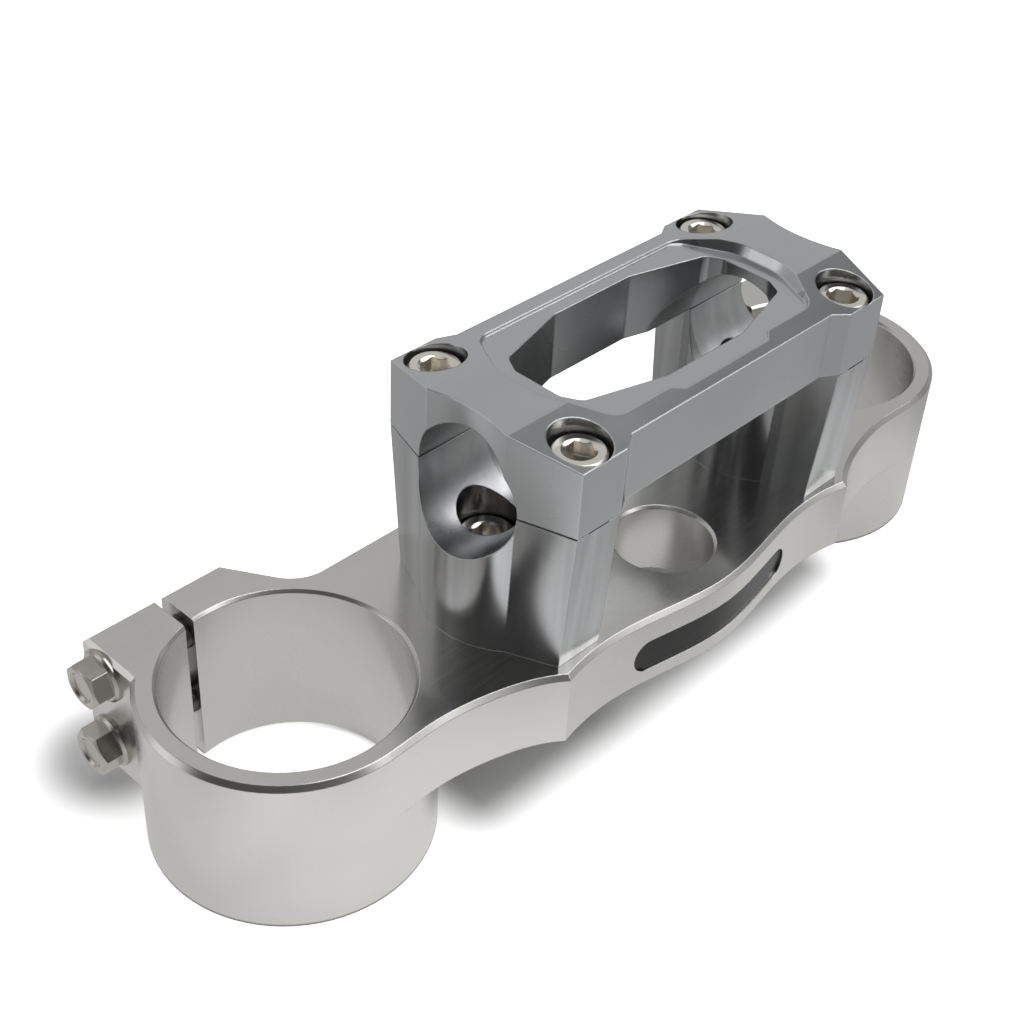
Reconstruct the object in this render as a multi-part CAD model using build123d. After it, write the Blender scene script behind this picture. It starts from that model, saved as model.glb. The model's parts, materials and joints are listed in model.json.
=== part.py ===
"""Upper triple clamp of a motocross motorcycle, with handlebar risers and a one-piece bar clamp.

Units are millimetres. The origin is on the steering stem axis, in the underside of the top bridge.
+X points to the rider's right, +Y to the front wheel and +Z up along the stem.
"""
import os
from math import cos, isclose, radians, sin, sqrt, tan

from build123d import *

# Forks and steering stem
FORK_SPACING = 186.8
FORK_OFFSET = 24.0
FORK_BORE_R = 27.0
FORK_WALL = 5.2
CLAMP_HEIGHT = 41.5
BRIDGE_THICKNESS = 19.0
STEM_BORE_R = 12.0
EDGE_BREAK = 0.7
OUTER_EDGE_BREAK = 1.1

# Plan outline of the top bridge
REAR_CORNER_X = 50.4
REAR_CORNER_Y = -17.2
REAR_HOLLOW_X = 30.0
REAR_HOLLOW_Y = -16.0
REAR_NOSE_Y = -20.2
ARM_START_ANGLE = 38.5
ARM_BEND_X = 65.0
ARM_BEND_Y = -10.4
ARM_FLAT_X = 80.0
ARM_FLAT_Y = -7.9
FRONT_EDGE_X = 64.0
FRONT_EDGE_Y = 45.6

# Pinch clamps
PINCH_SLOT_WIDTH = 2.5
PINCH_SLOT_OFFSET = 5.0
PINCH_TIP_Y = 62.3
PINCH_OUTER_EAR = 18.0
PINCH_INNER_EAR = 15.8
PINCH_INNER_RUN = 10.4
PINCH_ROOT_FILLET = 10.0
PINCH_EAR_HEIGHT = 33.2
PINCH_BOLT_Y = 55.4
PINCH_BOLT_PITCH = 19.5
PINCH_BOLT_LIFT = 0.8
PINCH_BOLT_R = 4.0
PINCH_BOLT_SHORT = 2.0
PINCH_HEX_AF = 10.0
PINCH_HEAD_HEIGHT = 6.0
PINCH_HEAD_CHAMFER = 30.0
PINCH_HEAD_RIM_R = 4.5
PINCH_DISH_R = 3.7
PINCH_DISH_DEPTH = 0.6
PINCH_HEAD_TURNS = {"upper": 12.0, "lower": -7.0}
PINCH_FLANGE_R = 6.3
PINCH_FLANGE_THICKNESS = 1.3

# Underside pockets of the top bridge
SKIN = 7.0
RIM_WALL = 4.5
STEM_BOSS_WALL = 6.0
RISER_BOSS_R = 11.0
POCKET_CORNER_R = 3.0

# Handlebar and its seats
BAR_R = 14.3
BAR_Y = 11.2
BAR_HEIGHT = 55.5
BAR_SEAT_SPACING = 90.0
SPLIT_GAP = 0.3

# Screws of the bar clamp
CLAMP_BOLT_X = 44.6
CLAMP_BOLT_REACH = 20.4
CLAMP_BOLT_R = 4.0
CLAMP_BOLT_GRIP = 22.0
CLAMP_HOLE_REST = 3.0
CLAMP_HEAD_R = 5.9
CLAMP_HEAD_HEIGHT = 5.4
CLAMP_HEAD_SINK = 1.9
COUNTERBORE_R = 6.75
SOCKET_AF = 6.0
SOCKET_DEPTH = 3.6
SOCKET_MOUTH_R = 3.8
SOCKET_MOUTH_SLOPE = 30.0
HEAD_CHAMFER = 0.5
TIP_CHAMFER = 0.6
BOLT_CLEARANCE = 0.25
THREAD_CLEARANCE = 0.05

# Risers, from the narrower foot to the head
RISER_FOOT_HALF_LENGTH = 24.5
RISER_HEAD_HALF_LENGTH = 27.2
RISER_FOOT_EAR_X = 43.9
RISER_EAR_HALF_WIDTH = 6.4
RISER_BEND_HALF = 10.2
RISER_FOOT_BEND_Y = 13.2
RISER_HEAD_BEND_Y = 14.0
RISER_BELLY_HALF = 15.2
RISER_BOLT_SHIFT = 3.0
RISER_BOLT_R = 4.0
RISER_BOLT_HEAD_R = 6.4
RISER_BOLT_HEAD_HEIGHT = 8.0
RISER_BOLT_HEAD_SINK = 4.4
RISER_BOLT_POCKET_R = 6.8
RISER_BOLT_TAIL = 2.0

# Nuts and washers under the risers
NUT_AF = 13.0
NUT_HEIGHT = 8.0
WASHER_R = 8.0
WASHER_THICKNESS = 1.6

# One-piece bar clamp
CLAMP_RISE = 19.2
CLAMP_FLAT_HALF = 11.2
CLAMP_SLOPE = 11.0
CLAMP_END_HALF = 55.9
CLAMP_END_DISH = 1.8
EAR_CORNER_HALF = 51.0
EAR_INNER_HALF = 38.0
EAR_BLEND = 4.0
RAIL_HALF_WIDTH = 24.8
WINDOW_END_HALF = 35.2
WINDOW_END_FLAT = 6.3
WINDOW_SHOULDER_X = 32.8
WINDOW_SHOULDER_Y = 10.7
WINDOW_CREST_X = 12.5
WINDOW_CREST_Y = 16.2
WINDOW_CORNER_R = 2.8
POOL_DEPTH = 2.4
POOL_END_HALF = 40.7
POOL_END_FLAT = 6.5
POOL_END_R = 14.0
POOL_SHOULDER_X = 33.4
POOL_SHOULDER_Y = 21.0
POOL_SHOULDER_R = 6.0
POOL_NOTCH_X = 14.5
POOL_NOTCH_Y = 23.3
POOL_NOTCH_RUN = 2.5
POOL_SIDE_SLOPE = 30.0

# Blank inlay in the rear wall
PLATE_LENGTH = 55.0
PLATE_HEIGHT = 8.8
PLATE_CENTRE_Z = 7.9
PLATE_POCKET_DEPTH = 1.6
PLATE_THICKNESS = 1.0
PLATE_CLEARANCE = 0.15

# Places that follow from the sizes above
FORK_X = FORK_SPACING / 2
CLAMP_OUTER_R = FORK_BORE_R + FORK_WALL
RING_BOTTOM = BRIDGE_THICKNESS - CLAMP_HEIGHT
EAR_BOTTOM = BRIDGE_THICKNESS - PINCH_EAR_HEIGHT
PINCH_MIDDLE = BRIDGE_THICKNESS - PINCH_EAR_HEIGHT / 2 + PINCH_BOLT_LIFT
PINCH_UPPER = PINCH_MIDDLE + PINCH_BOLT_PITCH / 2
PINCH_LOWER = PINCH_MIDDLE - PINCH_BOLT_PITCH / 2
SLOT_X = FORK_X + PINCH_SLOT_OFFSET
OUTER_EAR_X = SLOT_X + PINCH_SLOT_WIDTH / 2 + PINCH_OUTER_EAR
INNER_EAR_X = SLOT_X - PINCH_SLOT_WIDTH / 2 - PINCH_INNER_EAR
INNER_ROOT_X = INNER_EAR_X - PINCH_INNER_RUN
RISER_X = BAR_SEAT_SPACING / 2
RISER_BOLT_Y = BAR_Y + RISER_BOLT_SHIFT
RISER_HEAD_Z = BAR_HEIGHT - SPLIT_GAP / 2
RISER_BOLT_SEAT = BAR_HEIGHT - BAR_R - RISER_BOLT_HEAD_SINK - RISER_BOLT_HEAD_HEIGHT
CLAMP_BOTTOM = BAR_HEIGHT + SPLIT_GAP / 2
CLAMP_TOP = BAR_HEIGHT + CLAMP_RISE
CLAMP_FALL = (CLAMP_BOLT_REACH - CLAMP_FLAT_HALF) * tan(radians(CLAMP_SLOPE))
CLAMP_HEAD_SEAT = CLAMP_TOP - CLAMP_FALL - CLAMP_HEAD_SINK - CLAMP_HEAD_HEIGHT
CLAMP_HOLE_BOTTOM = RISER_HEAD_Z - CLAMP_BOLT_GRIP
THROUGH = 1.0
BEYOND = 60.0
SIDES = {"left": -1, "right": 1}
ENDS = {"front": 1, "rear": -1}
LEVELS = {"upper": PINCH_UPPER, "lower": PINCH_LOWER}


def outline(*edges):
    """Closed plan face from its edges, in any order."""
    return make_face(Curve() + list(edges))


def polygon(points):
    """Closed plan face from its corners."""
    return make_face(Polyline(*points, close=True))


def corners_at(face, x):
    """The corners of a plan face that stand at a distance from its middle, on either side."""
    return [corner for corner in face.vertices() if isclose(abs(corner.X), x, abs_tol=1e-6)]


def prism(face, bottom, top):
    """Straight column of a plan outline between two heights."""
    return extrude(Plane.XY.offset(bottom) * face, top - bottom)


def column(x, y, radius, bottom, top):
    """Vertical round column."""
    return Pos(x, y, bottom) * extrude(Circle(radius), top - bottom)


def hexagon(across_flats):
    """Hexagon by its width across flats."""
    return RegularPolygon(across_flats / sqrt(3), 6)


def side_of(shape, side):
    """The right-hand shape itself, or its mirror image for the left."""
    return shape if side > 0 else mirror(shape, Plane.YZ)


def four_quarters(quarter, near_quarter):
    """Corner points all the way round, from one quarter's corners and those of the rear quarter."""
    points = []
    for side, end in ((1, 1), (-1, 1), (-1, -1), (1, -1)):
        corners = list(quarter if end > 0 else near_quarter)
        if side * end < 0:
            corners.reverse()
        points += [(side * x, end * y) for x, y in corners]
    return points


def rear_wave(shift=0.0):
    """Gently waved rear edge between the two corners, moved forward by shift."""
    points = [(-REAR_CORNER_X, REAR_CORNER_Y), (-REAR_HOLLOW_X, REAR_HOLLOW_Y), (0, REAR_NOSE_Y),
              (REAR_HOLLOW_X, REAR_HOLLOW_Y), (REAR_CORNER_X, REAR_CORNER_Y)]
    return Spline(*[(x, y + shift) for x, y in points])


def bridge_plan():
    """Plan outline of the plate between the two fork clamps."""
    ring_rear = FORK_OFFSET - CLAMP_OUTER_R
    start = radians(ARM_START_ANGLE)
    edges = [rear_wave()]
    for side in SIDES.values():
        edges.append(Spline((side * REAR_CORNER_X, REAR_CORNER_Y), (side * ARM_BEND_X, ARM_BEND_Y),
                            (side * ARM_FLAT_X, ARM_FLAT_Y), (side * FORK_X, ring_rear),
                            tangents=[(side * cos(start), sin(start)), (side, 0)]))
        edges.append(Polyline((side * FORK_X, ring_rear), (side * FORK_X, FORK_OFFSET),
                              (side * FRONT_EDGE_X, FRONT_EDGE_Y)))
    edges.append(Line((-FRONT_EDGE_X, FRONT_EDGE_Y), (FRONT_EDGE_X, FRONT_EDGE_Y)))
    return outline(*edges)


def ear_plan():
    """Plan outline of the right clamp's two ears, as deep as the ears reach down."""
    return polygon([(INNER_EAR_X, PINCH_TIP_Y), (OUTER_EAR_X, PINCH_TIP_Y),
                    (OUTER_EAR_X, FORK_OFFSET), (FORK_X, FORK_OFFSET),
                    (INNER_ROOT_X, FRONT_EDGE_Y)])


def web_plan():
    """Plan outline that blends the ears into the front edge of the bridge plate."""
    face = polygon([(INNER_EAR_X, PINCH_TIP_Y), (OUTER_EAR_X, PINCH_TIP_Y),
                    (OUTER_EAR_X, FORK_OFFSET), (FRONT_EDGE_X - PINCH_ROOT_FILLET, FORK_OFFSET),
                    (FRONT_EDGE_X - PINCH_ROOT_FILLET, FRONT_EDGE_Y), (INNER_ROOT_X, FRONT_EDGE_Y)])
    root = [v for v in face.vertices() if abs(v.X - INNER_ROOT_X) < 0.01]
    return fillet(root, PINCH_ROOT_FILLET)


def fork_clamp():
    """Right fork clamp: ring, ears and web, without any hole."""
    ring = column(FORK_X, FORK_OFFSET, CLAMP_OUTER_R, RING_BOTTOM, BRIDGE_THICKNESS)
    ears = prism(ear_plan(), EAR_BOTTOM, BRIDGE_THICKNESS)
    web = prism(web_plan(), 0, BRIDGE_THICKNESS)
    return ring + ears + web


def pinch_axis(x, level):
    """Plane across a pinch screw's axis on the right side."""
    return Plane(origin=(x, PINCH_BOLT_Y, level), x_dir=(0, 1, 0), z_dir=(1, 0, 0))


def fork_clamp_cuts():
    """Fork bore, pinch slot and pinch screw holes of the right clamp."""
    bore = column(FORK_X, FORK_OFFSET, FORK_BORE_R, RING_BOTTOM, BRIDGE_THICKNESS)
    slot_face = Pos(SLOT_X, (FORK_OFFSET + PINCH_TIP_Y + THROUGH) / 2) * Rectangle(
        PINCH_SLOT_WIDTH, PINCH_TIP_Y + THROUGH - FORK_OFFSET)
    cuts = bore + prism(slot_face, RING_BOTTOM - THROUGH, BRIDGE_THICKNESS + THROUGH)
    for level in LEVELS.values():
        axis = pinch_axis(SLOT_X, level)
        clear = extrude(axis * Circle(PINCH_BOLT_R + BOLT_CLEARANCE), BEYOND)
        tapped = extrude(axis * Circle(PINCH_BOLT_R + THREAD_CLEARANCE), -BEYOND / 2)
        cuts = cuts + clear + tapped
    return cuts


def underside_pockets():
    """Milled pockets under the plate, around the stem boss and between the riser bosses."""
    rear = REAR_HOLLOW_Y + PLATE_POCKET_DEPTH + RIM_WALL
    front = FRONT_EDGE_Y - RIM_WALL
    boss = STEM_BORE_R + STEM_BOSS_WALL
    inner = RISER_X - RISER_BOSS_R
    corners = [((-inner, boss), (inner, front))]
    for side in SIDES.values():
        corners.append(((side * boss, rear), (side * inner, boss - RIM_WALL)))
    pockets = []
    for (x1, y1), (x2, y2) in corners:
        face = RectangleRounded(abs(x2 - x1), abs(y2 - y1), POCKET_CORNER_R)
        pockets.append(prism(Pos((x1 + x2) / 2, (y1 + y2) / 2) * face, -THROUGH,
                             BRIDGE_THICKNESS - SKIN))
    return pockets


def plate_slot(grow, near, far):
    """Slot-shaped slab that follows the waved rear wall between two depths."""
    straight = PLATE_LENGTH - PLATE_HEIGHT
    stadium = SlotCenterToCenter(straight, PLATE_HEIGHT + 2 * grow)
    across = Plane.XZ.offset(-REAR_NOSE_Y + BEYOND) * (Pos(0, PLATE_CENTRE_Z) * stadium)
    through = extrude(across, -2 * BEYOND)
    edges = [rear_wave(near), rear_wave(far)]
    for x in (-REAR_CORNER_X, REAR_CORNER_X):
        edges.append(Line((x, REAR_CORNER_Y + near), (x, REAR_CORNER_Y + far)))
    return prism(outline(*edges), -THROUGH, BRIDGE_THICKNESS + THROUGH) & through


def chamfer_outer_rim(body):
    """Chamfer all round the outside of the top face."""
    rim = body.faces().sort_by(Axis.Z)[-1].outer_wire().edges()
    return chamfer(rim, OUTER_EDGE_BREAK)


def chamfer_bore_mouths(body):
    """Small chamfers on the fork bores' two mouths and the stem bore's upper one."""
    mouths = []
    for edge in body.edges().filter_by(GeomType.CIRCLE):
        level = edge.center().Z
        radius = edge.radius
        at_top = abs(level - BRIDGE_THICKNESS) < 0.01
        at_ring_bottom = abs(level - RING_BOTTOM) < 0.01
        on_stem = abs(radius - STEM_BORE_R) < 0.01
        on_fork = abs(radius - FORK_BORE_R) < 0.01
        if (on_stem and at_top) or (on_fork and (at_top or at_ring_bottom)):
            mouths.append(edge)
    return chamfer(mouths, EDGE_BREAK)


def top_bridge():
    """Machined top bridge: two fork clamps, arms, waved rear wall, stem bore and pockets."""
    body = prism(bridge_plan(), 0, BRIDGE_THICKNESS)
    for side in SIDES.values():
        body = body + side_of(fork_clamp(), side)
    body = chamfer_outer_rim(body)
    for side in SIDES.values():
        body = body - side_of(fork_clamp_cuts(), side)
        body = body - column(side * RISER_X, RISER_BOLT_Y, RISER_BOLT_R + BOLT_CLEARANCE, -THROUGH,
                             BRIDGE_THICKNESS + THROUGH)
    body = body - column(0, 0, STEM_BORE_R, -THROUGH, BRIDGE_THICKNESS + THROUGH)
    body = body - underside_pockets()
    body = chamfer_bore_mouths(body)
    return body - plate_slot(0, -THROUGH, PLATE_POCKET_DEPTH)


def riser_outline(half_length, ear_x, bend_y, height):
    """Plan outline of the right riser at one height: two blunt ears and two round flanks."""
    edges = []
    for side in (-1, 1):
        bend_x = RISER_X + side * RISER_BEND_HALF
        edges.append(ThreePointArc((bend_x, BAR_Y - bend_y), (RISER_X + side * RISER_BELLY_HALF, BAR_Y),
                                   (bend_x, BAR_Y + bend_y)))
        for end in (-1, 1):
            edges.append(Line((bend_x, BAR_Y + end * bend_y),
                              (ear_x + side * RISER_EAR_HALF_WIDTH, BAR_Y + end * half_length)))
    for end in (-1, 1):
        edges.append(Line((ear_x - RISER_EAR_HALF_WIDTH, BAR_Y + end * half_length),
                          (ear_x + RISER_EAR_HALF_WIDTH, BAR_Y + end * half_length)))
    return Plane.XY.offset(height) * outline(*edges)


def bar_bore():
    """The handlebar's own space, through both seats."""
    axis = Plane(origin=(-FORK_X, BAR_Y, BAR_HEIGHT), x_dir=(0, 1, 0), z_dir=(1, 0, 0))
    return extrude(axis * Circle(BAR_R), FORK_SPACING)


def riser():
    """Right handlebar riser, with the lower half of the bar seat."""
    foot = riser_outline(RISER_FOOT_HALF_LENGTH, RISER_FOOT_EAR_X, RISER_FOOT_BEND_Y, BRIDGE_THICKNESS)
    head = riser_outline(RISER_HEAD_HALF_LENGTH, CLAMP_BOLT_X, RISER_HEAD_BEND_Y, RISER_HEAD_Z)
    block = loft([foot, head], ruled=True) - bar_bore()
    block = block - column(RISER_X, RISER_BOLT_Y, RISER_BOLT_R + BOLT_CLEARANCE, 0, BAR_HEIGHT)
    block = block - column(RISER_X, RISER_BOLT_Y, RISER_BOLT_POCKET_R, RISER_BOLT_SEAT, BAR_HEIGHT)
    for end in ENDS.values():
        block = block - column(CLAMP_BOLT_X, BAR_Y + end * CLAMP_BOLT_REACH,
                               CLAMP_BOLT_R + THREAD_CLEARANCE, CLAMP_HOLE_BOTTOM,
                               RISER_HEAD_Z + THROUGH)
    return block


def clamp_plan():
    """Plan outline of the one-piece bar clamp, with dished ends."""
    edges = []
    for side in (-1, 1):
        for end in (-1, 1):
            quarter = [(0, RAIL_HALF_WIDTH), (EAR_INNER_HALF - EAR_BLEND, RAIL_HALF_WIDTH),
                       (EAR_INNER_HALF, RISER_HEAD_HALF_LENGTH),
                       (EAR_CORNER_HALF, RISER_HEAD_HALF_LENGTH), (CLAMP_END_HALF, CLAMP_FLAT_HALF)]
            edges.append(Polyline(*[(side * x, end * y) for x, y in quarter]))
        edges.append(ThreePointArc((side * CLAMP_END_HALF, -CLAMP_FLAT_HALF),
                                   (side * (CLAMP_END_HALF - CLAMP_END_DISH), 0),
                                   (side * CLAMP_END_HALF, CLAMP_FLAT_HALF)))
    return Pos(0, BAR_Y) * outline(*edges)


def space_above_clamp():
    """Everything above the flat ridge and the two slopes of the bar clamp's top."""
    reach = CLAMP_FLAT_HALF + BEYOND / 2
    low = CLAMP_TOP - (reach - CLAMP_FLAT_HALF) * tan(radians(CLAMP_SLOPE))
    roof = polygon([(-reach, low), (-CLAMP_FLAT_HALF, CLAMP_TOP), (CLAMP_FLAT_HALF, CLAMP_TOP),
                    (reach, low), (reach, CLAMP_TOP + BEYOND), (-reach, CLAMP_TOP + BEYOND)])
    return extrude(Plane.YZ.offset(-FORK_X) * (Pos(BAR_Y, 0) * roof), FORK_SPACING)


def window():
    """Opening through the middle of the bar clamp."""
    quarter = [(WINDOW_END_HALF, WINDOW_END_FLAT), (WINDOW_SHOULDER_X, WINDOW_SHOULDER_Y),
               (WINDOW_CREST_X, WINDOW_CREST_Y)]
    face = polygon(four_quarters(quarter, quarter))
    face = fillet(face.vertices(), WINDOW_CORNER_R)
    return prism(Pos(0, BAR_Y) * face, BAR_HEIGHT - THROUGH, CLAMP_TOP + THROUGH)


def pool():
    """Shallow pool with sloping sides and round corners around the window, notched at the rear."""
    quarter = [(POOL_END_HALF, POOL_END_FLAT), (POOL_SHOULDER_X, POOL_SHOULDER_Y)]
    notched = quarter + [(POOL_NOTCH_X + POOL_NOTCH_RUN, POOL_SHOULDER_Y), (POOL_NOTCH_X, POOL_NOTCH_Y)]
    rim = polygon(four_quarters(quarter, notched))
    rim = fillet(corners_at(rim, POOL_END_HALF), POOL_END_R)
    rim = fillet(corners_at(rim, POOL_SHOULDER_X), POOL_SHOULDER_R)
    floor = offset(Pos(0, BAR_Y) * rim, -POOL_DEPTH * tan(radians(POOL_SIDE_SLOPE)))
    return extrude(Plane.XY.offset(CLAMP_TOP - POOL_DEPTH) * floor, POOL_DEPTH + THROUGH,
                   taper=-POOL_SIDE_SLOPE)


def bar_clamp_bridge():
    """One-piece bar clamp: sloping top, dished ends, window, pool and screw seats."""
    block = prism(clamp_plan(), CLAMP_BOTTOM, CLAMP_TOP)
    block = block - space_above_clamp() - pool() - window() - bar_bore()
    for side in SIDES.values():
        for end in ENDS.values():
            x = side * CLAMP_BOLT_X
            y = BAR_Y + end * CLAMP_BOLT_REACH
            block = block - column(x, y, CLAMP_BOLT_R + BOLT_CLEARANCE, BAR_HEIGHT, CLAMP_TOP)
            block = block - column(x, y, COUNTERBORE_R, CLAMP_HEAD_SEAT, CLAMP_TOP + THROUGH)
    return block


def socket_screw(head_r, head_height, shank_r, length):
    """Socket-head screw standing on its shank, with the head's underside at the origin."""
    shank = Pos(0, 0, -length) * extrude(Circle(shank_r), length)
    shank = chamfer(shank.faces().sort_by(Axis.Z)[0].edges(), TIP_CHAMFER)
    head = extrude(Circle(head_r), head_height)
    head = chamfer(head.faces().sort_by(Axis.Z)[-1].edges(), HEAD_CHAMFER)
    socket = Pos(0, 0, head_height - SOCKET_DEPTH) * extrude(hexagon(SOCKET_AF), SOCKET_DEPTH + THROUGH)
    mouth_depth = (SOCKET_MOUTH_R - SOCKET_AF / 2) * tan(radians(SOCKET_MOUTH_SLOPE))
    mouth = Pos(0, 0, head_height - mouth_depth / 2) * Cone(SOCKET_AF / 2, SOCKET_MOUTH_R, mouth_depth)
    return shank + head - socket - mouth


def clamp_bolt(side, end):
    """One of the four screws that hold the bar clamp down."""
    length = CLAMP_HEAD_SEAT - CLAMP_HOLE_BOTTOM - CLAMP_HOLE_REST
    screw = socket_screw(CLAMP_HEAD_R, CLAMP_HEAD_HEIGHT, CLAMP_BOLT_R, length)
    return Pos(side * CLAMP_BOLT_X, BAR_Y + end * CLAMP_BOLT_REACH, CLAMP_HEAD_SEAT) * screw


def riser_bolt(side):
    """Screw that holds a riser down, hidden under the handlebar."""
    length = RISER_BOLT_SEAT + WASHER_THICKNESS + NUT_HEIGHT + RISER_BOLT_TAIL
    screw = socket_screw(RISER_BOLT_HEAD_R, RISER_BOLT_HEAD_HEIGHT, RISER_BOLT_R, length)
    return Pos(side * RISER_X, RISER_BOLT_Y, RISER_BOLT_SEAT) * screw


def riser_washer(side):
    """Washer under the bridge, below a riser."""
    ring = Circle(WASHER_R) - Circle(RISER_BOLT_R + BOLT_CLEARANCE)
    return Pos(side * RISER_X, RISER_BOLT_Y, -WASHER_THICKNESS) * extrude(ring, WASHER_THICKNESS)


def riser_nut(side):
    """Nut under the washer."""
    ring = hexagon(NUT_AF) - Circle(RISER_BOLT_R + THREAD_CLEARANCE)
    return Pos(side * RISER_X, RISER_BOLT_Y, -WASHER_THICKNESS - NUT_HEIGHT) * extrude(ring, NUT_HEIGHT)


def pinch_bolt(side, level, turn):
    """Flanged hexagon screw through a clamp's two ears, its head on the outer ear."""
    length = PINCH_OUTER_EAR + PINCH_SLOT_WIDTH + PINCH_INNER_EAR - PINCH_BOLT_SHORT
    flange = extrude(Circle(PINCH_FLANGE_R), PINCH_FLANGE_THICKNESS)
    flange = chamfer(flange.faces().sort_by(Axis.Z)[-1].edges(), PINCH_FLANGE_THICKNESS / 2)
    spread = PINCH_HEAD_HEIGHT / tan(radians(PINCH_HEAD_CHAMFER))
    cone = Pos(0, 0, PINCH_HEAD_HEIGHT / 2) * Cone(PINCH_HEAD_RIM_R + spread, PINCH_HEAD_RIM_R,
                                                   PINCH_HEAD_HEIGHT)
    dish = Pos(0, 0, PINCH_HEAD_HEIGHT - PINCH_DISH_DEPTH / 2) * Cone(
        PINCH_DISH_R - PINCH_DISH_DEPTH, PINCH_DISH_R, PINCH_DISH_DEPTH)
    head = (extrude(Rot(0, 0, turn) * hexagon(PINCH_HEX_AF), PINCH_HEAD_HEIGHT) & cone) - dish
    shank = Pos(0, 0, -length) * extrude(Circle(PINCH_BOLT_R), length)
    screw = flange + head + shank
    return side_of(pinch_axis(OUTER_EAR_X, level).location * screw, side)


def inlay_plate():
    """Blank inlay that follows the waved rear wall at the bottom of its slot."""
    return plate_slot(-PLATE_CLEARANCE, PLATE_POCKET_DEPTH - PLATE_THICKNESS, PLATE_POCKET_DEPTH)


def write(node, shape):
    """Write one node's solid."""
    shape.label = node
    export_step(shape, os.path.join("parts", node + ".step"))


def main():
    os.makedirs("parts", exist_ok=True)
    write("top_bridge", top_bridge())
    write("bar_clamp_bridge", bar_clamp_bridge())
    write("inlay_plate", inlay_plate())
    for name, side in SIDES.items():
        write(name + "_riser", side_of(riser(), side))
        write("riser_bolt_" + name, riser_bolt(side))
        write("riser_washer_" + name, riser_washer(side))
        write("riser_nut_" + name, riser_nut(side))
        for end_name, end in ENDS.items():
            write("clamp_bolt_" + name + "_" + end_name, clamp_bolt(side, end))
        for level_name, level in LEVELS.items():
            turn = PINCH_HEAD_TURNS[level_name]
            write("pinch_bolt_" + name + "_" + level_name, pinch_bolt(side, level, turn))


main()
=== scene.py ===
"""Studio scene of the triple clamp: materials, camera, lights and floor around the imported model.

Units are metres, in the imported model's frame: X to the rider's right, Y to the front wheel, Z up.
A ramp is four numbers: two ends of a value, and the two results that it rises or falls between.
"""

import json
from math import radians

import bpy
from mathutils import Matrix, Vector


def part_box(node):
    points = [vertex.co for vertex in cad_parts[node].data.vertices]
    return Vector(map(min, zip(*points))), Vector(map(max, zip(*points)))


MM = 0.001
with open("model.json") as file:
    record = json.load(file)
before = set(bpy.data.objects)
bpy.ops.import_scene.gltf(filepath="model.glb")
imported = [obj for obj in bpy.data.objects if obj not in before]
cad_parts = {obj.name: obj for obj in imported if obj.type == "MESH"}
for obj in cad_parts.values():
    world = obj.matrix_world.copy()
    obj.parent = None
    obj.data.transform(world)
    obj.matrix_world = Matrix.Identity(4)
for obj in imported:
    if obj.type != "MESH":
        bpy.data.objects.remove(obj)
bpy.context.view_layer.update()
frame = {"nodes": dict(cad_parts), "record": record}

# Right fork clamp and right bar seat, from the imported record
mounts = {mount["name"]: mount for mount in frame["record"]["mounts"]}
FORK_X, FORK_Y, _ = mounts["right_fork"]["pos_m"]
_, BAR_Y, BAR_Z = mounts["right_bar_seat"]["pos_m"]
BAR_R = mounts["right_bar_seat"]["dims"]["r_mm"] * MM

# Camera without shift, the nearest to the one fitted to the photograph
CAMERA_PLACE = Vector((-251.6, -178.9, 262.1)) * MM
CAMERA_YAW = -47.98
CAMERA_PITCH = -37.82
CAMERA_ROLL = 3.38
FOCAL_PIXELS = 1674.3
IMAGE_PIXELS = 1024
SENSOR = 36.0
NEAR_CLIP = 0.01

# Floor under the clamps, with the boxes and circles that its painted shadow and painted glow follow
FLOOR_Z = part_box("top_bridge")[0].z
FLOOR_HALF = 6.0
SHADE_HALF_X = 0.060
SHADE_MIDDLE_Y = 0.030
SHADE_HALF_Y = 0.032
LUG_SHADE_X = 0.112
LUG_SHADE_Y = 0.066
LUG_SHADE_R = 0.008
OUTLINE_HALF_X = 0.120
OUTLINE_MIDDLE_Y = 0.010
OUTLINE_HALF_Y = 0.045
# Painted light: the floor inside the fork bores glows white
BORE_GLOW_R = 0.025
BORE_RAMP = (BORE_GLOW_R, BORE_GLOW_R + 0.004, 1.0, 0.0)

# Floor in the camera: a painted glow that fades to a painted shadow beside the bridge and its lugs, and
# white far from the outline
SHADOW_RAMP = (0.0, 0.016, 0.0, 0.8)
DISTANT_RAMP = (0.15, 0.6, 0.0, 1.0)

# Floor in reflections, a painted reflection: glow darker away from the outline, to the front, to the right
# and below the bridge
AWAY_RAMP = (0.0, 0.045, 0.90, 0.48)
FRONT_RAMP = (-0.05, 0.05, 1.0, 0.70)
RIGHT_RAMP = (-0.07, -0.01, 1.0, 0.72)
UNDER_RAMP = (0.0, 0.012, 0.35, 1.0)

# Painted reflection: bright patch in reflections, on the floor to the left of the near clamp
PATCH_INNER_RAMP = (-0.14, -0.10, 0.95, 0.0)
PATCH_OUTER_RAMP = (-0.19, -0.155, 0.5, 1.0)
PATCH_REAR_RAMP = (-0.11, -0.04, 0.0, 1.0)

# Floor albedo, lower in reflections, where the painted glow gives most of the floor's brightness
FLOOR_ALBEDO = 0.90
FLOOR_MIRRORED_ALBEDO = 0.18
FLOOR_ROUGHNESS = 0.9

# Directions that the room is built from, each with its ramp of brightness over the closeness to it
LIGHT_SIDE = Vector((0.30, 0.954, 0.0))
LIGHT_RAMP = (0.34, 0.62, 0.14, 0.57)
VIEWER_SIDE = Vector((-0.74, -0.67, 0.0))
VIEWER_RAMP = (0.1, 0.6, 1.0, 0.4)
WINDOW_WAY = Vector((-0.81, 0.52, 0.26))
WINDOW_RAMP = (0.93, 0.985, 0.0, 1.1)
REFLECTOR_WAY = Vector((0.60, -0.62, 0.51))
REFLECTOR_RAMP = (0.84, 0.96, 0.0, 0.25)

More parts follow.
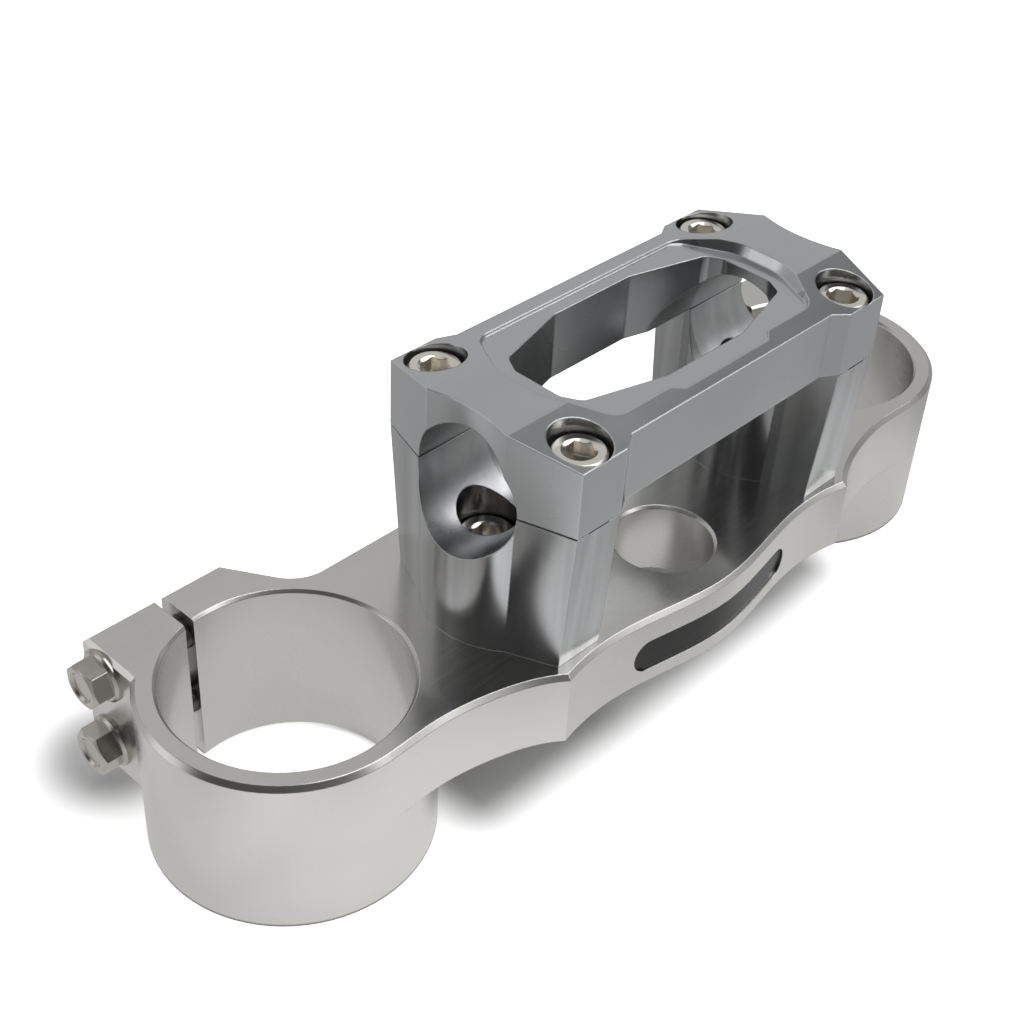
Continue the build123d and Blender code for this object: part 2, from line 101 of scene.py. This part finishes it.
# Room by height: one level at the horizon, and a brighter ceiling
HORIZON_RAMP = (0.0, 0.30, 1.0, 0.0)
HORIZON_LEVEL = 0.42
CEILING_RAMP = (0.85, 0.95, 0.0, 0.45)

# Faces count as flat by how far their normal points up or down, and as walls otherwise
FLAT_RAMP = (0.75, 0.9, 0.0, 1.0)

# Marks of the cutter, the clouds and the painted upright streaks of reflection, in noise cells for each
# metre along X, Y and Z
STROKE_SCALE = (70, 2600, 300)
RING_SCALE = (110, 110, 2400)
RING_CONTRAST = 0.15
CLOUD_SCALE = 45.0
CLOUD_DETAIL = 1.5
REFLECTION_BAND_SCALE = (240, 240, 5)

# How much marks, clouds and edges change the tone and the roughness of a metal
LINE_TONE = 0.07
CLOUD_TONE = 0.16
LINE_ROUGHNESS = 0.12
CLOUD_ROUGHNESS = 0.10
EDGE_ROUGHNESS = -0.05
WALL_ROUGHNESS = 0.03
TOP_ROUGHNESS = -0.05

# Relief of the marks, weaker on walls than on flat faces
BUMP_STRENGTH = 0.10
BUMP_DEPTH = 0.03 * MM
WALL_BUMP = 0.1
TOP_BUMP = 0.6

# Edges in the shading: samples of the rounding, and gain of the mask that marks them
EDGE_SAMPLES = 6
EDGE_MASK_GAIN = 6.0

# Bored bar seats, rougher and with painted shade, and the walls of the bar clamp's window darker with
# painted shade
SEAT_RAMP = (BAR_R + 0.1 * MM, BAR_R + 0.3 * MM, 1.0, 0.0)
SEAT_SHADE_TONE = 0.85
SEAT_ROUGHNESS = 0.14
CLAMP_WINDOW_HALF_X = 0.0354
CLAMP_WINDOW_HALF_Y = 0.0165
CLAMP_WINDOW_SHADE_TONE = 0.72

# Bar clamp's outer faces in front of its screw heads, where the wall is too thin to round the edge
THIN_X = 0.0446
THIN_HALF_X = 0.0030
THIN_Y = 0.0270
THIN_TOP = 0.0710

# Painted shade: a dark line at the foot of the bridge by height, and the pinch screws darker in the slot by
# distance along X
FOOT_SHADE_RAMP = (FLOOR_Z + 0.3 * MM, FLOOR_Z + 0.8 * MM, 0.4, 1.0)
SLOT_OUTER_X = FORK_X + 6.3 * MM
SLOT_SHADE_RAMP = (SLOT_OUTER_X, SLOT_OUTER_X + 1.5 * MM, 0.2, 1.0)

# Metals by their slot in the record
METALS = {
    "bridge_alloy": {"colour": (0.660, 0.652, 0.632), "roughness": 0.25, "spread": 0.45,
                     "shade_by_height": FOOT_SHADE_RAMP},
    "riser_alloy": {"colour": (0.490, 0.494, 0.502), "roughness": 0.17, "spread": 0.6, "marks": 0.6,
                    "edge_radius": 0.4 * MM, "reflection_bands": 0.7, "seats": True},
    "clamp_alloy": {"colour": (0.538, 0.548, 0.556), "roughness": 0.24, "spread": 0.3, "marks": 0.35,
                    "edge_radius": 0.5 * MM, "edge_highlight_gain": 0.25, "seats": True},
    "stainless": {"colour": (0.80, 0.77, 0.71), "roughness": 0.20, "spread": 0.2, "marks": 0.3},
    "pinch_steel": {"colour": (0.50, 0.48, 0.445), "roughness": 0.24, "spread": 0.2, "marks": 0.4,
                    "shade_by_reach": SLOT_SHADE_RAMP},
    "plated_steel": {"colour": (0.62, 0.63, 0.65), "roughness": 0.28, "spread": 0.2, "marks": 0.4},
}

# Inlay: nearly black, with flakes and clouds, slightly blue, under a glossy coat
FLAKE_SCALE = 2600.0
FLAKE_RAMP = (0.45, 0.75, 0.0, 1.0)
FLAKE_TONE = 0.008
INLAY_CLOUD_SCALE = 60.0
INLAY_CLOUD_DETAIL = 3.0
INLAY_TONE = 0.014
INLAY_BLUE = 1.1
INLAY_ROUGHNESS = 0.45
INLAY_SPECULAR = 0.08
COAT_WEIGHT = 0.5
COAT_ROUGHNESS = 0.06

WHITE = (1.0, 1.0, 1.0)
ALONG_Y = (0, 1, 0)
ALONG_Z = (0, 0, 1)

# Sockets of a mix node: both inputs after the factor, and the output
MIX_SOCKETS = {"FLOAT": (2, 3, 0), "VECTOR": (4, 5, 1), "RGBA": (6, 7, 2)}


class Tree:
    """Short helpers that add nodes to one node tree and link them."""

    def __init__(self, tree):
        self.nodes = tree.nodes
        self.links = tree.links

    def put(self, value, socket):
        """Link a socket, or set a plain number, colour or vector."""
        if isinstance(value, bpy.types.NodeSocket):
            self.links.new(value, socket)
        elif isinstance(value, (int, float)):
            socket.default_value = value
        else:
            socket.default_value = tuple(value) + (1.0,) * (len(socket.default_value) - len(value))

    def math(self, operation, *values, clamp=False):
        """One arithmetic step."""
        node = self.nodes.new("ShaderNodeMath")
        node.operation = operation
        node.use_clamp = clamp
        for value, socket in zip(values, node.inputs):
            self.put(value, socket)
        return node.outputs[0]

    def vector(self, operation, *values):
        """One vector step."""
        node = self.nodes.new("ShaderNodeVectorMath")
        node.operation = operation
        for value, socket in zip(values, node.inputs):
            self.put(value, socket)
        return node.outputs["Value" if operation in ("DOT_PRODUCT", "LENGTH") else "Vector"]

    def mix(self, factor, a, b, kind="FLOAT"):
        """Blend of two numbers, vectors or colours."""
        node = self.nodes.new("ShaderNodeMix")
        node.data_type = kind
        first, second, result = MIX_SOCKETS[kind]
        self.put(factor, node.inputs[0])
        self.put(a, node.inputs[first])
        self.put(b, node.inputs[second])
        return node.outputs[result]

    def smooth(self, value, low, high, start, end):
        """Smooth ramp from start to end while the value goes from low to high."""
        node = self.nodes.new("ShaderNodeMapRange")
        node.interpolation_type = "SMOOTHSTEP"
        for number, socket in zip((value, low, high, start, end), node.inputs):
            self.put(number, socket)
        return node.outputs[0]

    def noise(self, coordinates, scale, detail=2.0):
        """Noise whose scale is one number, or one for each axis."""
        if not isinstance(scale, (int, float)):
            coordinates = self.vector("MULTIPLY", coordinates, scale)
            scale = 1.0
        node = self.nodes.new("ShaderNodeTexNoise")
        self.put(coordinates, node.inputs["Vector"])
        self.put(scale, node.inputs["Scale"])
        self.put(detail, node.inputs["Detail"])
        return node.outputs["Fac"]

    def split(self, vector):
        """The three parts of a vector."""
        node = self.nodes.new("ShaderNodeSeparateXYZ")
        self.put(vector, node.inputs[0])
        return node.outputs

    def join(self, *parts):
        """A vector from its parts."""
        node = self.nodes.new("ShaderNodeCombineXYZ")
        for part, socket in zip(parts, node.inputs):
            self.put(part, socket)
        return node.outputs[0]

    def place(self):
        """Place of the shaded point in the frame, where every object has its origin."""
        return self.nodes.new("ShaderNodeTexCoord").outputs["Object"]

    def face(self):
        """Normal of the shaded point before any rounding or relief."""
        return self.nodes.new("ShaderNodeNewGeometry").outputs["Normal"]


def new_material(name):
    """Empty node material: the material, its tree helper and its principled shader."""
    material = bpy.data.materials.new(name)
    material.use_nodes = True
    return material, Tree(material.node_tree), material.node_tree.nodes["Principled BSDF"]


def thin_wall(tree, place):
    """Mask of the bar clamp's thin walls in front of its screw heads."""
    x, y, z = tree.split(place)
    across = tree.math("ABSOLUTE", tree.math("SUBTRACT", tree.math("ABSOLUTE", x), THIN_X))
    along = tree.math("ABSOLUTE", tree.math("SUBTRACT", y, BAR_Y))
    mask = tree.math("MULTIPLY", tree.math("LESS_THAN", across, THIN_HALF_X),
                     tree.math("GREATER_THAN", along, THIN_Y))
    return tree.math("MULTIPLY", mask, tree.math("LESS_THAN", z, THIN_TOP))


def softened_edges(tree, radius, kept_flat=0.0):
    """Rounded normal at the edges, and a mask of how much it turns from the flat face."""
    bevel = tree.nodes.new("ShaderNodeBevel")
    bevel.samples = EDGE_SAMPLES
    bevel.inputs["Radius"].default_value = radius
    face = tree.face()
    normal = tree.mix(kept_flat, bevel.outputs["Normal"], face, "VECTOR")
    turned = tree.math("SUBTRACT", 1.0, tree.vector("DOT_PRODUCT", normal, face))
    return normal, tree.math("MULTIPLY", turned, EDGE_MASK_GAIN, clamp=True)


def bored_and_milled(tree, place, flat):
    """Masks of the bored bar seats and of the milled walls of the window."""
    x, y, z = tree.split(place)
    y = tree.math("SUBTRACT", y, BAR_Y)
    reach = tree.vector("LENGTH", tree.join(0.0, y, tree.math("SUBTRACT", z, BAR_Z)))
    bored = tree.smooth(reach, *SEAT_RAMP)
    across = tree.math("LESS_THAN", tree.math("ABSOLUTE", x), CLAMP_WINDOW_HALF_X)
    along = tree.math("LESS_THAN", tree.math("ABSOLUTE", y), CLAMP_WINDOW_HALF_Y)
    inner = tree.math("MULTIPLY", across, along)
    return bored, tree.math("MULTIPLY", inner, tree.math("SUBTRACT", 1.0, flat))


def cutter_lines(tree, place, flat):
    """Fine lines about zero: strokes along X on flat faces, and level rings on walls."""
    strokes = tree.noise(place, STROKE_SCALE)
    rings = tree.noise(place, RING_SCALE)
    rings = tree.math("MULTIPLY_ADD", rings, RING_CONTRAST, 0.5 - RING_CONTRAST / 2)
    return tree.math("SUBTRACT", tree.mix(flat, rings, strokes), 0.5)


def machined_metal(name, colour, roughness, spread, marks=1.0, edge_radius=0.3 * MM, edge_highlight_gain=0.12,
                   reflection_bands=0.0, shade_by_height=None, shade_by_reach=None, seats=False):
    """Milled metal with cutter marks, slow changes of tone, and softened edges that catch the light
    and carry a painted highlight.

    spread stretches the reflections across the marks, the upright streaks are a painted reflection,
    the ramps over height and over reach are painted shade, over Z and over the distance from the middle
    along X, and seats adds the masks of the bar seats, the window and the thin walls, with painted shade
    in the seats and on the window's walls.
    """
    material, tree, shader = new_material(name)
    place = tree.place()
    x, _, z = tree.split(place)
    flat = tree.smooth(tree.math("ABSOLUTE", tree.split(tree.face())[2]), *FLAT_RAMP)
    lines = cutter_lines(tree, place, flat)
    cloud = tree.math("SUBTRACT", tree.noise(place, CLOUD_SCALE, CLOUD_DETAIL), 0.5)
    normal, edge_polish_and_highlight = softened_edges(tree, edge_radius, thin_wall(tree, place) if seats else 0.0)

    tone = tree.math("MULTIPLY_ADD", lines, LINE_TONE * marks, 1.0)
    tone = tree.math("MULTIPLY_ADD", cloud, CLOUD_TONE, tone)
    # Painted highlight: the tone is lighter at the edges, which the same mask also makes smoother
    tone = tree.math("MULTIPLY_ADD", edge_polish_and_highlight, edge_highlight_gain, tone)
    rough = tree.mix(flat, roughness + WALL_ROUGHNESS, roughness + TOP_ROUGHNESS)
    rough = tree.math("MULTIPLY_ADD", lines, LINE_ROUGHNESS * marks, rough)
    rough = tree.math("MULTIPLY_ADD", cloud, CLOUD_ROUGHNESS, rough)

    # Painted reflection: upright light and dark streaks in the tone
    if reflection_bands:
        painted_reflection_streaks = tree.math("SUBTRACT", tree.noise(place, REFLECTION_BAND_SCALE), 0.5)
        tone = tree.math("MULTIPLY_ADD", painted_reflection_streaks, reflection_bands, tone)
    # Painted shade: darker by reach along X for the screws in the slot, and by height for a dark line at the
    # foot
    if shade_by_reach:
        tone = tree.math("MULTIPLY", tone, tree.smooth(tree.math("ABSOLUTE", x), *shade_by_reach))
    if shade_by_height:
        tone = tree.math("MULTIPLY", tone, tree.smooth(z, *shade_by_height))
    if seats:
        bored, milled = bored_and_milled(tree, place, flat)
        # Painted shade in the bar seats and on the window's walls; the seats are also rougher
        tone = tree.math("MULTIPLY", tone, tree.mix(bored, 1.0, SEAT_SHADE_TONE))
        tone = tree.math("MULTIPLY", tone, tree.mix(milled, 1.0, CLAMP_WINDOW_SHADE_TONE))
        rough = tree.math("MULTIPLY_ADD", bored, SEAT_ROUGHNESS, rough)

    bump = tree.nodes.new("ShaderNodeBump")
    bump.inputs["Strength"].default_value = BUMP_STRENGTH * marks
    bump.inputs["Distance"].default_value = BUMP_DEPTH
    tree.put(tree.math("MULTIPLY", lines, tree.mix(flat, WALL_BUMP, TOP_BUMP)), bump.inputs["Height"])
    tree.put(normal, bump.inputs["Normal"])

    tree.put(tree.join(*(tree.math("MULTIPLY", tone, part) for part in colour)), shader.inputs["Base Color"])
    tree.put(tree.math("MULTIPLY_ADD", edge_polish_and_highlight, EDGE_ROUGHNESS, rough, clamp=True), shader.inputs["Roughness"])
    tree.put(bump.outputs["Normal"], shader.inputs["Normal"])
    tree.put(tree.mix(flat, ALONG_Z, ALONG_Y, "VECTOR"), shader.inputs["Tangent"])
    shader.inputs["Anisotropic"].default_value = spread
    shader.inputs["Metallic"].default_value = 1.0
    return material


def inlay_material():
    """Blank dark inlay with fine flakes under a clear glossy face."""
    material, tree, shader = new_material("inlay")
    place = tree.place()
    flake = tree.smooth(tree.noise(place, FLAKE_SCALE), *FLAKE_RAMP)
    cloud = tree.noise(place, INLAY_CLOUD_SCALE, INLAY_CLOUD_DETAIL)
    tone = tree.math("MULTIPLY_ADD", flake, FLAKE_TONE, tree.math("MULTIPLY", cloud, INLAY_TONE))
    tree.put(tree.join(tone, tone, tree.math("MULTIPLY", tone, INLAY_BLUE)), shader.inputs["Base Color"])
    shader.inputs["Roughness"].default_value = INLAY_ROUGHNESS
    shader.inputs["Specular IOR Level"].default_value = INLAY_SPECULAR
    shader.inputs["Coat Weight"].default_value = COAT_WEIGHT
    shader.inputs["Coat Roughness"].default_value = COAT_ROUGHNESS
    return material


def dress_nodes():
    """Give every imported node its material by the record's slot."""
    looks = {slot: machined_metal(slot, **settings) for slot, settings in METALS.items()}
    looks["inlay"] = inlay_material()
    for entry in frame["record"]["subparts"]:
        node = frame["nodes"][entry["node"]]
        node.data.materials.clear()
        node.data.materials.append(looks[entry["material_slot"]])


def distance_outside(tree, x, y, middle, half):
    """Distance of a floor point outside a box that is mirrored across the middle of the floor."""
    across = tree.math("MAXIMUM", tree.math("SUBTRACT", tree.math("ABSOLUTE", x), half[0]), 0.0)
    along = tree.math("ABSOLUTE", tree.math("SUBTRACT", y, middle))
    along = tree.math("MAXIMUM", tree.math("SUBTRACT", along, half[1]), 0.0)
    return tree.vector("LENGTH", tree.join(across, along, 0.0))


def distance_from(tree, x, y, point):
    """Distance of a floor point from the nearer one of two mirrored points."""
    across = tree.math("SUBTRACT", tree.math("ABSOLUTE", x), point[0])
    along = tree.math("SUBTRACT", y, point[1])
    return tree.vector("LENGTH", tree.join(across, along, 0.0))


def seen_floor(tree, x, y, bridge, outline, in_bore):
    """Painted glow and painted shadow of the floor in the camera, from the distances to the bridge and to
    the outline.
    """
    lug = tree.math("SUBTRACT", distance_from(tree, x, y, (LUG_SHADE_X, LUG_SHADE_Y)), LUG_SHADE_R)
    seen = tree.smooth(tree.math("MINIMUM", bridge, lug), *SHADOW_RAMP)
    return tree.math("MAXIMUM", seen, tree.math("MAXIMUM", in_bore, tree.smooth(outline, *DISTANT_RAMP)))


def reflected_floor(tree, x, y, bridge, outline, in_bore):
    """Painted reflection: brightness of the floor in reflections, from the same distances."""
    patch = tree.math("MULTIPLY", tree.smooth(x, *PATCH_INNER_RAMP), tree.smooth(y, *PATCH_REAR_RAMP))
    patch = tree.math("MULTIPLY", patch, tree.smooth(x, *PATCH_OUTER_RAMP))
    glow = tree.math("MAXIMUM", tree.smooth(outline, *AWAY_RAMP), patch)
    glow = tree.math("MULTIPLY", glow, tree.smooth(y, *FRONT_RAMP))
    glow = tree.math("MULTIPLY", glow, tree.smooth(x, *RIGHT_RAMP))
    return tree.math("MULTIPLY", glow, tree.math("MAXIMUM", tree.smooth(bridge, *UNDER_RAMP), in_bore))


def floor_material():
    """Matt floor with a painted glow: white to the camera outside the object's short, partly painted shadow,
    and pale in the metal.
    """
    material, tree, shader = new_material("floor")
    x, y, _ = tree.split(tree.place())
    bridge = distance_outside(tree, x, y, SHADE_MIDDLE_Y, (SHADE_HALF_X, SHADE_HALF_Y))
    outline = distance_outside(tree, x, y, OUTLINE_MIDDLE_Y, (OUTLINE_HALF_X, OUTLINE_HALF_Y))
    in_bore = tree.smooth(distance_from(tree, x, y, (FORK_X, FORK_Y)), *BORE_RAMP)
    seen = seen_floor(tree, x, y, bridge, outline, in_bore)
    glow = reflected_floor(tree, x, y, bridge, outline, in_bore)

    path = tree.nodes.new("ShaderNodeLightPath").outputs
    mirrored = tree.math("MAXIMUM", path["Is Glossy Ray"], path["Is Transmission Ray"])
    # Painted glow: the camera sees the painted shadow and glow, reflections see the painted reflection
    albedo = tree.mix(mirrored, FLOOR_ALBEDO, FLOOR_MIRRORED_ALBEDO)
    strength = tree.math("MULTIPLY_ADD", path["Is Camera Ray"], seen, tree.math("MULTIPLY", mirrored, glow))
    tree.put(tree.join(albedo, albedo, albedo), shader.inputs["Base Color"])
    tree.put(strength, shader.inputs["Emission Strength"])
    tree.put(WHITE, shader.inputs["Emission Color"])
    shader.inputs["Roughness"].default_value = FLOOR_ROUGHNESS
    shader.inputs["Specular IOR Level"].default_value = 0.0
    return material


def make_floor():
    """Wide plain floor under the clamps."""
    mesh = bpy.data.meshes.new("floor")
    corners = [(x * FLOOR_HALF, y * FLOOR_HALF, FLOOR_Z) for x, y in ((-1, -1), (1, -1), (1, 1), (-1, 1))]
    mesh.from_pydata(corners, [], [(0, 1, 2, 3)])
    floor = bpy.data.objects.new("floor", mesh)
    bpy.context.scene.collection.objects.link(floor)
    mesh.materials.append(floor_material())


def make_world():
    """Pale studio, lit on the far side and dim behind the viewer; white where the camera sees it."""
    world = bpy.data.worlds.new("studio")
    bpy.context.scene.world = world
    world.use_nodes = True
    tree = Tree(world.node_tree)
    way = tree.nodes.new("ShaderNodeTexCoord").outputs["Generated"]
    height = tree.split(way)[2]

    def toward(direction, ramp):
        """Ramp over the closeness of the way that is looked along to a direction."""
        return tree.smooth(tree.vector("DOT_PRODUCT", way, direction), *ramp)

    room = tree.math("MULTIPLY", toward(LIGHT_SIDE, LIGHT_RAMP), toward(VIEWER_SIDE, VIEWER_RAMP))
    room = tree.mix(tree.smooth(height, *HORIZON_RAMP), room, HORIZON_LEVEL)
    room = tree.math("ADD", room, toward(WINDOW_WAY, WINDOW_RAMP))
    room = tree.math("ADD", room, toward(REFLECTOR_WAY, REFLECTOR_RAMP))
    room = tree.math("ADD", room, tree.smooth(height, *CEILING_RAMP))
    path = tree.nodes.new("ShaderNodeLightPath").outputs
    seen = tree.mix(path["Is Camera Ray"], tree.join(room, room, room), WHITE, "RGBA")
    tree.put(seen, tree.nodes["Background"].inputs["Color"])


def softbox(name, place, size, power):
    """Rectangular softbox that faces the origin."""
    light = bpy.data.lights.new(name, "AREA")
    light.shape = "RECTANGLE"
    light.size, light.size_y = size
    light.energy = power
    lamp = bpy.data.objects.new(name, light)
    lamp.location = place
    lamp.rotation_euler = (-Vector(place)).to_track_quat("-Z", "Y").to_euler()
    bpy.context.scene.collection.objects.link(lamp)


def make_camera():
    """Camera at the photograph's viewing angle."""
    data = bpy.data.cameras.new("camera")
    data.sensor_width = SENSOR
    data.lens = FOCAL_PIXELS / IMAGE_PIXELS * SENSOR
    data.clip_start = NEAR_CLIP
    camera = bpy.data.objects.new("camera", data)
    turn = Matrix.Rotation(radians(CAMERA_YAW), 4, "Z")
    tilt = Matrix.Rotation(radians(90 + CAMERA_PITCH), 4, "X")
    roll = Matrix.Rotation(radians(CAMERA_ROLL), 4, "Z")
    camera.matrix_world = Matrix.Translation(CAMERA_PLACE) @ turn @ tilt @ roll
    bpy.context.scene.collection.objects.link(camera)
    bpy.context.scene.camera = camera


dress_nodes()
make_floor()
make_world()
softbox("top", place=(0.50, -0.40, 1.20), size=(1.3, 1.3), power=10.0)
make_camera()
bpy.context.scene.view_settings.view_transform = "Standard"
